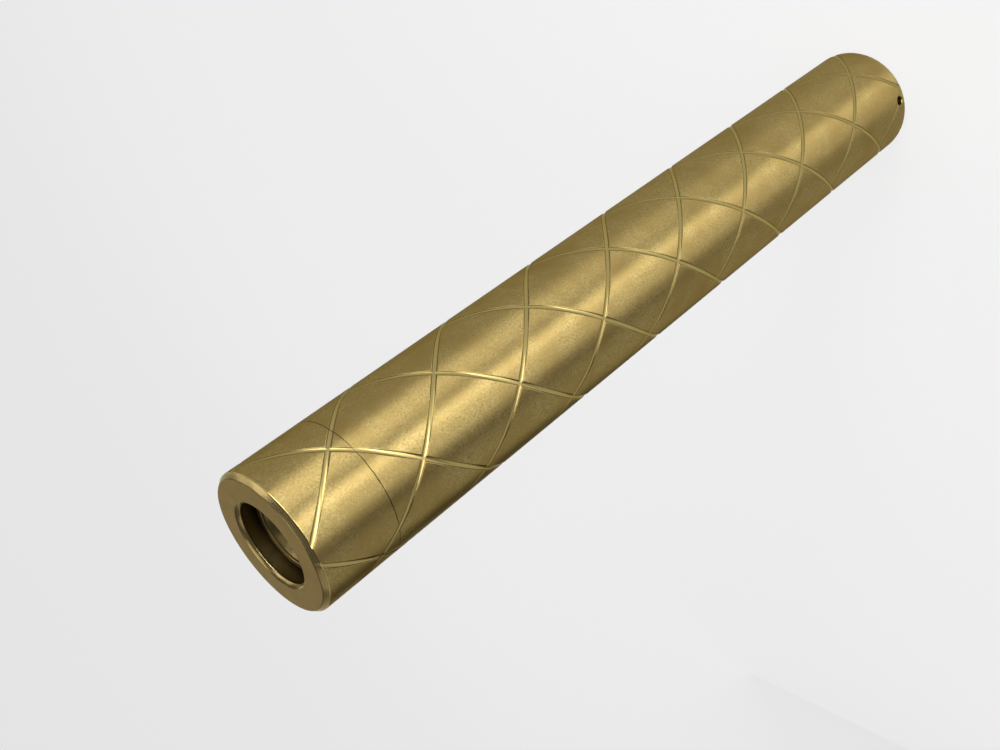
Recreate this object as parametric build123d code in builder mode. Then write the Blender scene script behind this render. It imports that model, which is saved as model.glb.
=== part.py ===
import math
import os

from build123d import *

# A brass laser pointer that stands on its tail rim, with the beam aperture at the top.
# The origin is the middle of the tail rim, +Z is the beam's direction, sizes are in millimetres.
# The lanyard hole faces -Y.

# Cell and barrel walls
cell_diameter = 18.4
cell_length = 65.0
cell_shoulder_chamfer = 0.8
cell_nipple_diameter = 5.5
cell_nipple_height = 1.0
cell_clearance = 0.3
barrel_wall = 1.5
tail_edge_chamfer = 0.8
tail_mouth_break = 0.3
seam_edge_break = 0.1

# Lanyard hole
lanyard_hole_diameter = 1.8
lanyard_hole_height = 2.2

# Crossed helical grooves
groove_starts = 4
groove_row_spacing = 19.34
groove_row_angle = -35.0
groove_first_crossing = 10.5
groove_width = 0.92
groove_depth = 0.15
groove_overrun = 0.1

# Tail switch
switch_bore_diameter = 17.0
tail_recess_depth = 5.0
tail_ring_thickness = 3.0
tail_ring_wall = 1.2
tail_ring_clearance = 0.05
spanner_hole_diameter = 1.6
spanner_hole_depth = 1.5
button_diameter = 11.0
button_proud = 3.0
button_clearance = 0.1
button_edge_break = 0.5
button_flange_width = 1.4
button_flange_thickness = 1.2
button_travel = 1.5
button_stop_gap = 0.3
switch_body_side = 8.5
switch_body_height = 4.0
switch_body_edge_radius = 0.5
switch_body_floor = 0.8
plunger_diameter = 3.4
plunger_clearance = 0.1
plunger_engagement = 1.0
switch_board_thickness = 1.2
shoulder_opening_diameter = 14.0
shoulder_thickness = 2.0

# Tail spring
tail_spring_wire = 0.8
tail_spring_sides = 4
tail_spring_turns = 3
tail_spring_base_diameter = 11.6
tail_spring_tip_diameter = 7.0
tail_spring_length = 7.8
tail_spring_seat_gap = 0.05

# Head and its screw joint with the barrel
head_length = 13.0
front_chamfer_width = 0.55
front_chamfer_length = 0.8
aperture_diameter = 13.2
aperture_lip = 0.9
aperture_edge_break = 0.3
front_cavity_diameter = 14.4
front_wall = 4.5
joint_step = 0.5
joint_length = 9.0
joint_clearance = 0.1
gasket_thickness = 0.6
gasket_clearance = 0.05

# Heat sink
sink_clearance = 0.5
sink_fit = 0.05
sink_cup_wall = 0.8
sink_web = 3.0
wire_hole_diameter = 6.0
screw_diameter = 3.0
screw_count = 2
screw_fit = 0.05
screw_below_surface = 0.2
screw_socket_width = 1.5
screw_socket_depth = 1.2
screw_inset = 6.0

# Driver board and what it carries
contact_diameter = 5.0
contact_height = 2.6
contact_edge_break = 0.4
driver_ring_thickness = 1.6
driver_ring_width = 1.3
board_fit = 0.05
driver_board_thickness = 1.2
driver_room = 12.2
inductor_diameter = 5.2
inductor_height = 3.6
inductor_angle = 217.0
inductor_edge_distance = 2.9
chip_side = 4.4
chip_height = 1.6
chip_angle = -47.0
chip_edge_distance = 3.5
capacitor_length = 3.2
capacitor_width = 1.6
capacitor_height = 1.2
capacitor_spacing = 7.0
capacitor_edge_distance = 2.95
chip_edge_radius = 0.3

# Laser module
module_diameter = 12.0
module_length = 32.5
module_clearance = 0.05
module_edge_break = 0.3
module_rear_room = 6.0
module_rear_bore_diameter = 9.0
module_rear_bore_depth = 8.0
module_recess = 4.0
diode_flange_diameter = 5.6
diode_flange_thickness = 1.2
diode_cap_diameter = 3.6
diode_cap_height = 2.5
diode_fit = 0.05
diode_cap_clearance = 0.2
diode_cap_room = 3.3
diode_pin_diameter = 0.45
diode_pin_length = 6.5
diode_pin_circle_diameter = 2.54
retainer_opening_diameter = 4.0
retainer_thickness = 3.0
lead_diameter = 0.9

# Focus ring with its lens
focus_stem_diameter = 9.0
focus_stem_length = 11.8
focus_ring_diameter = 11.6
focus_ring_length = 5.2
focus_gap = 0.3
focus_clearance = 0.05
focus_bore_diameter = 5.2
focus_mouth_diameter = 9.6
focus_mouth_depth = 3.5
focus_slot_width = 1.2
focus_slot_depth = 1.0
lens_diameter = 7.0
lens_edge_thickness = 2.0
lens_crown = 0.9
lens_fit = 0.05
lens_seat_height = 8.8
lens_ring_thickness = 1.5
lens_ring_width = 0.9

# Radii that follow
barrel_bore_radius = cell_diameter / 2 + cell_clearance
body_radius = barrel_bore_radius + barrel_wall
joint_radius = barrel_bore_radius + joint_step
sink_radius = barrel_bore_radius - sink_clearance
sink_cup_radius = sink_radius - sink_cup_wall
module_radius = module_diameter / 2
sink_bore_radius = module_radius + module_clearance
switch_bore_radius = switch_bore_diameter / 2
tail_ring_radius = switch_bore_radius - tail_ring_clearance
button_radius = button_diameter / 2
focus_bore_radius = focus_stem_diameter / 2 + focus_clearance
lens_seat_radius = lens_diameter / 2 + lens_fit

# Heights that follow, from the tail rim up to the face
switch_room = button_flange_thickness + button_travel + button_stop_gap + switch_body_height
tail_ring_top = tail_recess_depth + tail_ring_thickness
switch_board_base = tail_ring_top + switch_room
switch_board_top = switch_board_base + switch_board_thickness
shoulder_top = switch_board_top + shoulder_thickness
cell_base = switch_board_top + tail_spring_length
cell_top = cell_base + cell_length
driver_board_base = cell_top + cell_nipple_height + contact_height
driver_board_top = driver_board_base + driver_board_thickness
sink_base = driver_board_base - driver_ring_thickness
sink_web_base = driver_board_top + driver_room
sink_web_top = sink_web_base + sink_web
module_base = sink_web_top + module_rear_room
module_top = module_base + module_length
sink_top = module_top + module_recess
overall_length = sink_top + front_wall
seam_height = overall_length - head_length
joint_base = seam_height - joint_length
diode_base = module_base + module_rear_bore_depth
diode_flange_top = diode_base + diode_flange_thickness
focus_bore_base = diode_flange_top + diode_cap_room
focus_ring_base = module_top + focus_gap
focus_ring_top = focus_ring_base + focus_ring_length
focus_stem_base = focus_ring_base - focus_stem_length
lens_base = focus_stem_base + lens_seat_height
lens_ring_base = lens_base + lens_edge_thickness
lens_ring_top = lens_ring_base + lens_ring_thickness


def groove_cutters(low, high):
    """The V cutters of both hands for the outside between two heights, all on one pattern."""
    groove_lead = groove_starts * groove_row_spacing
    crossing_height = overall_length - groove_first_crossing
    profile_top = groove_depth + groove_overrun
    profile_half_width = groove_width / 2 * profile_top / groove_depth
    path_base = low - groove_width
    path_height = high - low + 2 * groove_width
    cutters = []
    for left_hand in (False, True):
        path = Helix(
            pitch=groove_lead,
            height=path_height,
            radius=body_radius - groove_depth,
            center=(0, 0, path_base),
            lefthand=left_hand,
        )
        outward = Vector(1, 0, 0)
        section = Plane(origin=path @ 0, x_dir=outward.cross(path % 0), z_dir=path % 0)
        with BuildPart() as cutter:
            with BuildSketch(section):
                with BuildLine():
                    Polyline(
                        (0, 0),
                        (profile_half_width, profile_top),
                        (-profile_half_width, profile_top),
                        close=True,
                    )
                make_face()
            sweep(path=path, is_frenet=True)
        turned = 360 * (crossing_height - path_base) / groove_lead
        start_angle = groove_row_angle + (turned if left_hand else -turned)
        for start in range(groove_starts):
            angle = start_angle + 360 / groove_starts * start
            cutters.append(cutter.part.rotate(Axis.Z, angle % 360))
    return cutters


def turned_ring(outer_radius, inner_radius, low, high):
    """A plain turned ring between two heights."""
    with BuildPart() as ring:
        with BuildSketch(Plane.XY.offset(low)):
            Circle(outer_radius)
            Circle(inner_radius, mode=Mode.SUBTRACT)
        extrude(amount=high - low)
    return ring


# Barrel: a turned tube with the switch's bore, a shoulder, the cell's bore and the joint's bore
with BuildPart() as barrel:
    with BuildSketch():
        Circle(body_radius)
    extrude(amount=seam_height)
    rims = barrel.edges().filter_by(GeomType.CIRCLE).sort_by(Axis.Z)
    chamfer(rims[0], tail_edge_chamfer)
    chamfer(rims[-1], seam_edge_break)
    with BuildSketch():
        Circle(switch_bore_radius)
    extrude(amount=switch_board_top, mode=Mode.SUBTRACT)
    with BuildSketch(Plane.XY.offset(switch_board_top)):
        Circle(shoulder_opening_diameter / 2)
    extrude(amount=shoulder_thickness, mode=Mode.SUBTRACT)
    with BuildSketch(Plane.XY.offset(shoulder_top)):
        Circle(barrel_bore_radius)
    extrude(amount=seam_height - shoulder_top, mode=Mode.SUBTRACT)
    with BuildSketch(Plane.XY.offset(joint_base)):
        Circle(joint_radius)
    extrude(amount=joint_length, mode=Mode.SUBTRACT)
    mouth = barrel.faces().filter_by(Axis.Z).sort_by(Axis.Z)[0].inner_wires()[0]
    chamfer(mouth.edges(), tail_mouth_break)
    with BuildSketch(Plane.XZ):
        with Locations((0, lanyard_hole_height)):
            Circle(lanyard_hole_diameter / 2)
    extrude(amount=2 * body_radius, mode=Mode.SUBTRACT)
    for cutter in groove_cutters(0, seam_height):
        add(cutter, mode=Mode.SUBTRACT, clean=False)
barrel.part.label = "barrel"

# Head shell: the turned nose with the aperture lip, and a skirt that screws into the barrel
skirt_base = joint_base + gasket_thickness
skirt_radius = joint_radius - joint_clearance
head_bore_radius = sink_radius + sink_fit
aperture_radius = aperture_diameter / 2
lip_base = overall_length - aperture_lip
with BuildPart() as head_shell:
    with BuildSketch(Plane.XY.offset(seam_height)):
        Circle(body_radius)
    extrude(amount=head_length)
    rims = head_shell.edges().filter_by(GeomType.CIRCLE).sort_by(Axis.Z)
    chamfer(rims[0], seam_edge_break)
    nose = head_shell.faces().sort_by(Axis.Z)[-1]
    chamfer(nose.edges(), front_chamfer_length, front_chamfer_width, reference=nose)
    with BuildSketch(Plane.XY.offset(skirt_base)):
        Circle(skirt_radius)
    extrude(amount=seam_height - skirt_base)
    with BuildSketch(Plane.XY.offset(skirt_base)):
        Circle(head_bore_radius)
    extrude(amount=sink_top - skirt_base, mode=Mode.SUBTRACT)
    with BuildSketch(Plane.XY.offset(sink_top)):
        Circle(front_cavity_diameter / 2)
    extrude(amount=lip_base - sink_top, mode=Mode.SUBTRACT)
    with BuildSketch(Plane.XY.offset(lip_base)):
        Circle(aperture_radius)
    extrude(amount=aperture_lip, mode=Mode.SUBTRACT)
    lip = head_shell.faces().sort_by(Axis.Z)[-1].inner_wires()[0]
    chamfer(lip.edges(), aperture_edge_break)
    for cutter in groove_cutters(seam_height, overall_length):
        add(cutter, mode=Mode.SUBTRACT, clean=False)
head_shell.part.label = "head_shell"

# Gasket: a flat rubber washer between the skirt and the floor of the joint's bore
head_gasket = turned_ring(
    joint_radius - gasket_clearance,
    barrel_bore_radius + gasket_clearance,
    joint_base,
    skirt_base,
)
head_gasket.part.label = "head_gasket"

# Tail ring: a threaded cup with two spanner holes, which holds the switch board in from behind
button_opening_radius = button_radius + button_clearance
spanner_circle_radius = (tail_ring_radius + button_opening_radius) / 2
with BuildPart() as tail_ring:
    with BuildSketch(Plane.XY.offset(tail_recess_depth)):
        Circle(tail_ring_radius)
    extrude(amount=switch_board_base - tail_recess_depth)
    with BuildSketch(Plane.XY.offset(tail_recess_depth)):
        Circle(button_opening_radius)
    extrude(amount=tail_ring_thickness, mode=Mode.SUBTRACT)
    with BuildSketch(Plane.XY.offset(tail_ring_top)):
        Circle(tail_ring_radius - tail_ring_wall)
    extrude(amount=switch_room, mode=Mode.SUBTRACT)
    with BuildSketch(Plane.XY.offset(tail_recess_depth)):
        with PolarLocations(spanner_circle_radius, 2):
            Circle(spanner_hole_diameter / 2)
    extrude(amount=spanner_hole_depth, mode=Mode.SUBTRACT)
tail_ring.part.label = "tail_ring"

# Tail button: a turned cap with a flange behind the ring
button_flange_radius = button_radius + button_flange_width
button_flange_top = tail_ring_top + button_flange_thickness
with BuildPart() as tail_button:
    with BuildSketch(Plane.XY.offset(tail_recess_depth - button_proud)):
        Circle(button_radius)
    extrude(amount=button_proud + tail_ring_thickness)
    rim = tail_button.edges().filter_by(GeomType.CIRCLE).sort_by(Axis.Z)[0]
    chamfer(rim, button_edge_break)
    with BuildSketch(Plane.XY.offset(tail_ring_top)):
        Circle(button_flange_radius)
    extrude(amount=button_flange_thickness)
tail_button.part.label = "tail_button"

# Switch board: a round board against the barrel's shoulder
with BuildPart() as switch_board:
    with BuildSketch(Plane.XY.offset(switch_board_base)):
        Circle(tail_ring_radius)
    extrude(amount=switch_board_thickness)
switch_board.part.label = "switch_board"

# Switch body: a square moulded case on the board, with the plunger's hole
switch_body_base = switch_board_base - switch_body_height
plunger_hole_depth = switch_body_height - switch_body_floor
with BuildPart() as switch_body:
    with BuildSketch(Plane.XY.offset(switch_body_base)):
        RectangleRounded(switch_body_side, switch_body_side, switch_body_edge_radius)
    extrude(amount=switch_body_height)
    with BuildSketch(Plane.XY.offset(switch_body_base)):
        Circle(plunger_diameter / 2 + plunger_clearance)
    extrude(amount=plunger_hole_depth, mode=Mode.SUBTRACT)
switch_body.part.label = "switch_body"

# Switch plunger: the moulded pin that the button pushes into the switch body
with BuildPart() as switch_plunger:
    with BuildSketch(Plane.XY.offset(button_flange_top)):
        Circle(plunger_diameter / 2)
    extrude(amount=switch_body_base + plunger_engagement - button_flange_top)
switch_plunger.part.label = "switch_plunger"

# Tail spring: the conical coil between the switch board and the cell
spring_end_gap = tail_spring_seat_gap + tail_spring_wire / 2
spring_path_height = tail_spring_length - 2 * spring_end_gap
spring_narrowing = (tail_spring_base_diameter - tail_spring_tip_diameter) / 2
with BuildPart() as tail_spring:
    coil = Helix(
        pitch=spring_path_height / tail_spring_turns,
        height=spring_path_height,
        radius=tail_spring_base_diameter / 2,
        center=(0, 0, switch_board_top + spring_end_gap),
        cone_angle=-math.degrees(math.atan2(spring_narrowing, spring_path_height)),
    )
    with BuildSketch(Plane(origin=coil @ 0, z_dir=coil % 0)):
        RegularPolygon(tail_spring_wire / 2, tail_spring_sides)
    sweep(path=coil, is_frenet=True)
tail_spring.part.label = "tail_spring"

# Battery cell: one sealed can with its nipple
with BuildPart() as battery_cell:
    with BuildSketch(Plane.XY.offset(cell_base)):
        Circle(cell_diameter / 2)
    extrude(amount=cell_length)
    shoulder = battery_cell.edges().filter_by(GeomType.CIRCLE).sort_by(Axis.Z)[-1]
    chamfer(shoulder, cell_shoulder_chamfer)
    with BuildSketch(Plane.XY.offset(cell_top)):
        Circle(cell_nipple_diameter / 2)
    extrude(amount=cell_nipple_height)
battery_cell.part.label = "battery_cell"

# Heat sink: a turned sleeve with the driver board's cup, a web with the wire hole and the module's bore
screw_height = module_base + screw_inset
with BuildPart() as heat_sink:
    with BuildSketch(Plane.XY.offset(sink_base)):
        Circle(sink_radius)
    extrude(amount=sink_top - sink_base)
    with BuildSketch(Plane.XY.offset(sink_base)):
        Circle(sink_cup_radius)
    extrude(amount=sink_web_base - sink_base, mode=Mode.SUBTRACT)
    with BuildSketch(Plane.XY.offset(sink_web_base)):
        Circle(wire_hole_diameter / 2)
    extrude(amount=sink_web, mode=Mode.SUBTRACT)
    with BuildSketch(Plane.XY.offset(sink_web_top)):
        Circle(sink_bore_radius)
    extrude(amount=sink_top - sink_web_top, mode=Mode.SUBTRACT)
    with BuildSketch(Plane.YZ):
        with Locations((0, screw_height)):
            Circle(screw_diameter / 2 + screw_fit)
    extrude(amount=sink_radius, both=True, mode=Mode.SUBTRACT)
heat_sink.part.label = "heat_sink"

# Module screws: grub screws through the sink that grip the module
screw_length = sink_radius - screw_below_surface - module_radius
with BuildPart() as module_screws:
    for turn in range(screw_count):
        angle = 360 / screw_count * turn
        inner_end = Plane(
            origin=Vector(module_radius, 0, screw_height).rotate(Axis.Z, angle),
            z_dir=Vector(1, 0, 0).rotate(Axis.Z, angle),
        )
        with BuildSketch(inner_end):
            Circle(screw_diameter / 2)
        extrude(amount=screw_length)
        with BuildSketch(inner_end.offset(screw_length - screw_socket_depth)):
            RegularPolygon(screw_socket_width / 2, 6, major_radius=False)
        extrude(amount=screw_socket_depth, mode=Mode.SUBTRACT)
module_screws.part.label = "module_screws"

# Module housing: a turned brass tube, open behind for the diode and in front for the focus stem
with BuildPart() as module_housing:
    with BuildSketch(Plane.XY.offset(module_base)):
        Circle(module_radius)
    extrude(amount=module_length)
    front_rim = module_housing.edges().filter_by(GeomType.CIRCLE).sort_by(Axis.Z)[-1]
    chamfer(front_rim, module_edge_break)
    with BuildSketch(Plane.XY.offset(module_base)):
        Circle(module_rear_bore_diameter / 2)
    extrude(amount=module_rear_bore_depth, mode=Mode.SUBTRACT)
    with BuildSketch(Plane.XY.offset(diode_base)):
        Circle(diode_flange_diameter / 2 + diode_fit)
    extrude(amount=diode_flange_thickness, mode=Mode.SUBTRACT)
    with BuildSketch(Plane.XY.offset(diode_flange_top)):
        Circle(diode_cap_diameter / 2 + diode_cap_clearance)
    extrude(amount=diode_cap_room, mode=Mode.SUBTRACT)
    with BuildSketch(Plane.XY.offset(focus_bore_base)):
        Circle(focus_bore_radius)
    extrude(amount=module_top - focus_bore_base, mode=Mode.SUBTRACT)
module_housing.part.label = "module_housing"

# Laser diode: a round metal can with its flange and three pins
with BuildPart() as laser_diode:
    with BuildSketch(Plane.XY.offset(diode_base)):
        Circle(diode_flange_diameter / 2)
    extrude(amount=diode_flange_thickness)
    with BuildSketch(Plane.XY.offset(diode_flange_top)):
        Circle(diode_cap_diameter / 2)
    extrude(amount=diode_cap_height)
    with BuildSketch(Plane.XY.offset(diode_base)):
        with PolarLocations(diode_pin_circle_diameter / 2, 3, angular_range=180, endpoint=True):
            Circle(diode_pin_diameter / 2)
    extrude(amount=-diode_pin_length)
laser_diode.part.label = "laser_diode"

# Diode retainer: the ring that presses the diode's flange into its seat
diode_retainer = turned_ring(
    module_rear_bore_diameter / 2 - diode_fit,
    retainer_opening_diameter / 2,
    diode_base - retainer_thickness,
    diode_base,
)
diode_retainer.part.label = "diode_retainer"

# Focus ring: a ring on a threaded stem, bored for the lens, with a conical mouth and two spanner slots
with BuildPart() as focus_ring:
    with BuildSketch(Plane.XY.offset(focus_stem_base)):
        Circle(focus_stem_diameter / 2)
    extrude(amount=focus_stem_length)
    with BuildSketch(Plane.XY.offset(focus_ring_base)):
        Circle(focus_ring_diameter / 2)
    extrude(amount=focus_ring_length)
    with BuildSketch(Plane.XY.offset(focus_stem_base)):
        Circle(focus_bore_diameter / 2)
    extrude(amount=lens_seat_height, mode=Mode.SUBTRACT)
    with BuildSketch(Plane.XY.offset(lens_base)):
        Circle(lens_seat_radius)
    extrude(amount=focus_ring_top - lens_base, mode=Mode.SUBTRACT)
    with BuildSketch(Plane.XY.offset(focus_ring_top - focus_mouth_depth)):
        Circle(lens_seat_radius)
    with BuildSketch(Plane.XY.offset(focus_ring_top)):
        Circle(focus_mouth_diameter / 2)
    loft(mode=Mode.SUBTRACT)
    with BuildSketch(Plane.XY.offset(focus_ring_top)):
        Rectangle(focus_ring_diameter, focus_slot_width)
    extrude(amount=-focus_slot_depth, mode=Mode.SUBTRACT)
focus_ring.part.label = "focus_ring"

# Focus lens: a round glass lens, flat behind and domed in front, inside the lens ring's opening
lens_opening_radius = lens_diameter / 2 - lens_ring_width
dome_radius = (lens_opening_radius**2 + lens_crown**2) / (2 * lens_crown)
with BuildPart() as focus_lens:
    with BuildSketch(Plane.XZ):
        with BuildLine():
            edge = Polyline(
                (0, lens_base),
                (lens_diameter / 2, lens_base),
                (lens_diameter / 2, lens_ring_base),
                (lens_opening_radius, lens_ring_base),
            )
            dome = RadiusArc(edge @ 1, (0, lens_ring_base + lens_crown), -dome_radius)
            Line(dome @ 1, edge @ 0)
        make_face()
    revolve(axis=Axis.Z)
focus_lens.part.label = "focus_lens"

# Lens ring: the thin threaded ring that holds the lens in its seat
lens_ring = turned_ring(lens_diameter / 2, lens_opening_radius, lens_ring_base, lens_ring_top)
lens_ring.part.label = "lens_ring"

# Driver board: a round board in the sink's cup
board_radius = sink_cup_radius - board_fit
with BuildPart() as driver_board:
    with BuildSketch(Plane.XY.offset(driver_board_base)):
        Circle(board_radius)
    extrude(amount=driver_board_thickness)
driver_board.part.label = "driver_board"

# Driver ring: the threaded ring that holds the board in the cup
driver_ring = turned_ring(
    board_radius, board_radius - driver_ring_width, sink_base, driver_board_base
)
driver_ring.part.label = "driver_ring"

# Driver contact: a turned stud under the board that meets the cell's nipple
with BuildPart() as driver_contact:
    with BuildSketch(Plane.XY.offset(driver_board_base)):
        Circle(contact_diameter / 2)
    extrude(amount=-contact_height)
    rim = driver_contact.edges().filter_by(GeomType.CIRCLE).sort_by(Axis.Z)[0]
    chamfer(rim, contact_edge_break)
driver_contact.part.label = "driver_contact"

# Driver inductor: a round wound part on the board
with BuildPart() as driver_inductor:
    with BuildSketch(Plane.XY.offset(driver_board_top)):
        with PolarLocations(board_radius - inductor_edge_distance, 1, inductor_angle):
            Circle(inductor_diameter / 2)
    extrude(amount=inductor_height)
driver_inductor.part.label = "driver_inductor"

# Driver chip: the square regulator
with BuildPart() as driver_chip:
    with BuildSketch(Plane.XY.offset(driver_board_top)):
        with PolarLocations(board_radius - chip_edge_distance, 1, chip_angle, rotate=False):
            RectangleRounded(chip_side, chip_side, chip_edge_radius)
    extrude(amount=chip_height)
driver_chip.part.label = "driver_chip"

# Driver capacitors: two small blocks beside each other
with BuildPart() as driver_capacitors:
    with BuildSketch(Plane.XY.offset(driver_board_top)):
        with Locations((0, board_radius - capacitor_edge_distance)):
            with GridLocations(capacitor_spacing, 0, 2, 1):
                Rectangle(capacitor_length, capacitor_width)
    extrude(amount=capacitor_height)
driver_capacitors.part.label = "driver_capacitors"


def lead_wire(side):
    """One insulated lead from the driver board up through the wire hole to a pin of the diode."""
    with BuildPart() as wire:
        with BuildSketch(Plane.XY.offset(driver_board_top)):
            with Locations((side * diode_pin_circle_diameter / 2, 0)):
                Circle(lead_diameter / 2)
        extrude(amount=diode_base - diode_pin_length - driver_board_top)
    return wire


# Leads: the red one and the black one
lead_positive = lead_wire(1)
lead_positive.part.label = "lead_positive"
lead_negative = lead_wire(-1)
lead_negative.part.label = "lead_negative"

os.makedirs("parts", exist_ok=True)
for piece in (
    barrel,
    head_shell,
    head_gasket,
    tail_ring,
    tail_button,
    switch_board,
    switch_body,
    switch_plunger,
    tail_spring,
    battery_cell,
    heat_sink,
    module_screws,
    module_housing,
    laser_diode,
    diode_retainer,
    focus_ring,
    focus_lens,
    lens_ring,
    driver_board,
    driver_ring,
    driver_contact,
    driver_inductor,
    driver_chip,
    driver_capacitors,
    lead_positive,
    lead_negative,
):
    export_step(piece.part, f"parts/{piece.part.label}.step")
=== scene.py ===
import math

import bmesh
import bpy
from mathutils import Matrix, Vector


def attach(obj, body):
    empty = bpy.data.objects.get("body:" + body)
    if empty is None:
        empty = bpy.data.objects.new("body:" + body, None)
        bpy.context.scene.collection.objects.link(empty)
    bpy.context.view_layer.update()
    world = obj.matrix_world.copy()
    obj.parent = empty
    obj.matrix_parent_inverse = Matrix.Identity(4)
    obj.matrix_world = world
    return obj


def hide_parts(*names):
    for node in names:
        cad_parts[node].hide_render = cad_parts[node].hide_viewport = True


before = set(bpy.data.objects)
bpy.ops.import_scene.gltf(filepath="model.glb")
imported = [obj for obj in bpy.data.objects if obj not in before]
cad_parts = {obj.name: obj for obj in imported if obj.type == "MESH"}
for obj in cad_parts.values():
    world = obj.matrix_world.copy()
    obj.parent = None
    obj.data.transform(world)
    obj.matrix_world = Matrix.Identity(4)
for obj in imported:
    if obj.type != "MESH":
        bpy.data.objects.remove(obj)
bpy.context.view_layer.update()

# Barrel: the long tube that holds the cell, turned from brass bar and brushed while it spins.
# Four shallow grooves of each hand are cut across it on one pattern that carries on over the
# head, and a lanyard hole is drilled through the wall beside the tail rim.
mm = 0.001
body_radius = 11.0
seam_height = 143.0
groove_depth = 0.12
groove_half_width = 0.44
groove_blend = 0.006
crossing_height = 145.5
crossing_angle = math.radians(-35)
quarter = math.pi / 2
lead = 77.36
turn_rate = 2 * math.pi / lead
across_rate = math.hypot(1 / body_radius, turn_rate)
groove_lines = [-0.5, -0.453, -0.43, -0.37, -0.3, -0.2, -0.1, 0]
groove_lines += [-line for line in reversed(groove_lines[:-1])]
crease_angle = math.radians(28)


def use_only(piece):
    """Makes one piece the only one selected, so that an operator acts on nothing else."""
    if bpy.context.object and bpy.context.object.mode != "OBJECT":
        bpy.ops.object.mode_set(mode="OBJECT")
    bpy.ops.object.select_all(action="DESELECT")
    piece.select_set(True)
    bpy.context.view_layer.objects.active = piece


def pattern_lines(first, last):
    """Where the wall's lines lie across the grooves of one hand, which is closest in a groove."""
    flat_start = groove_lines[-1] * across_rate
    flat_step = (quarter - 2 * flat_start) / 12
    lines = []
    for groove in range(math.floor(first / quarter) - 1, math.ceil(last / quarter) + 2):
        lines += [groove * quarter + line * across_rate for line in groove_lines]
        lines += [groove * quarter + flat_start + flat_step * step for step in range(1, 12)]
    return [line for line in sorted(lines) if first - 1e-9 <= line <= last + 1e-9]


def groove_cut(turned):
    """How deep a groove of one hand is cut there: a round bottom between two crisp edges."""
    away = abs((turned + quarter / 2) % quarter - quarter / 2) / across_rate
    cut = groove_depth * (1 - (away / groove_half_width) ** 2)
    return (cut + math.hypot(cut, groove_blend)) / 2


def groove_drift(turned_down, turned_up):
    """How far one groove strays from the pattern, cut flatter than the rest near the face."""
    growing_turn = math.radians(139)
    strayed_turn = math.radians(260)
    flattening = -0.139
    for turn in (0, 4 * quarter):
        reach = turned_down - turn + growing_turn
        away = turned_up - turn + quarter
        if 0 < reach < strayed_turn and abs(away) < quarter:
            return flattening * min(reach, growing_turn) * math.cos(away) ** 2
    return 0.0


def wall_radius(outline, height):
    """The radius of the wall's outline, (height, radius) points, at a height."""
    for (low, low_radius), (high, high_radius) in zip(outline, outline[1:]):
        if low <= height <= high:
            return low_radius + (high_radius - low_radius) * (height - low) / (high - low)
    return outline[0][1] if height < outline[0][0] else outline[-1][1]


def grooved_wall(name, outline):
    """The outside of a body piece: marked out flat along the grooves, trimmed, and rolled up."""
    low, high = outline[0][0], outline[-1][0]
    first = -quarter / 2
    across = pattern_lines(first, first + 4 * quarter)
    along = pattern_lines(
        first - 2 * turn_rate * (high - crossing_height) - quarter,
        first + 4 * quarter - 2 * turn_rate * (low - crossing_height) + quarter,
    )
    bpy.ops.object.select_all(action="DESELECT")
    bpy.ops.mesh.primitive_grid_add(
        x_subdivisions=len(across) - 1, y_subdivisions=len(along) - 1, size=1
    )
    wall = bpy.context.object
    wall.name = wall.data.name = name
    for vertex in wall.data.vertices:
        a = across[round((vertex.co.x + 0.5) * (len(across) - 1))]
        b = along[round((vertex.co.y + 0.5) * (len(along) - 1))]
        b += groove_drift(a, b)
        height = crossing_height + (a - b) / (2 * turn_rate)
        vertex.co = ((a + b) / 2, height / 10, 0)
    bpy.ops.object.mode_set(mode="EDIT")
    for height, _ in outline:
        bpy.ops.mesh.select_all(action="SELECT")
        bpy.ops.mesh.bisect(
            plane_co=(0, height / 10, 0),
            plane_no=(0, 1, 0),
            clear_inner=height == low,
            clear_outer=height == high,
            threshold=1e-6,
        )
    bpy.ops.object.mode_set(mode="OBJECT")
    for vertex in wall.data.vertices:
        height = vertex.co.y * 10
        angle = vertex.co.x + crossing_angle
        turned = turn_rate * (height - crossing_height)
        down, up = vertex.co.x + turned, vertex.co.x - turned
        strayed = up
        for _ in range(6):
            strayed = up - groove_drift(down, strayed)
        cut = max(groove_cut(down), groove_cut(strayed))
        radius = min(body_radius - cut, wall_radius(outline, height))
        vertex.co = (radius * math.cos(angle) * mm, radius * math.sin(angle) * mm, height * mm)
    bpy.ops.object.mode_set(mode="EDIT")
    bpy.ops.mesh.select_all(action="SELECT")
    bpy.ops.mesh.remove_doubles(threshold=1e-6)
    bpy.ops.mesh.normals_make_consistent(inside=False)
    return wall


def select_open_edge(wall, height):
    """Selects the open edge of the wall in edit mode that lies at one height."""
    bpy.ops.mesh.select_mode(type="EDGE")
    bpy.ops.mesh.select_all(action="DESELECT")
    shape = bmesh.from_edit_mesh(wall.data)
    for edge in shape.edges:
        level = all(abs(end.co.z - height * mm) < 1e-7 for end in edge.verts)
        edge.select_set(edge.is_boundary and level)
    shape.select_flush(True)
    bmesh.update_edit_mesh(wall.data)


def bore_on(wall, points):
    """Carries the selected open edge on through (radius, height) points, as a boring tool does."""
    for radius, height in points:
        bpy.ops.mesh.extrude_edges_move()
        shape = bmesh.from_edit_mesh(wall.data)
        for vertex in shape.verts:
            if vertex.select:
                flat = Vector((vertex.co.x, vertex.co.y)).normalized() * radius * mm
                vertex.co = (flat.x, flat.y, height * mm)
        bmesh.update_edit_mesh(wall.data)


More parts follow.
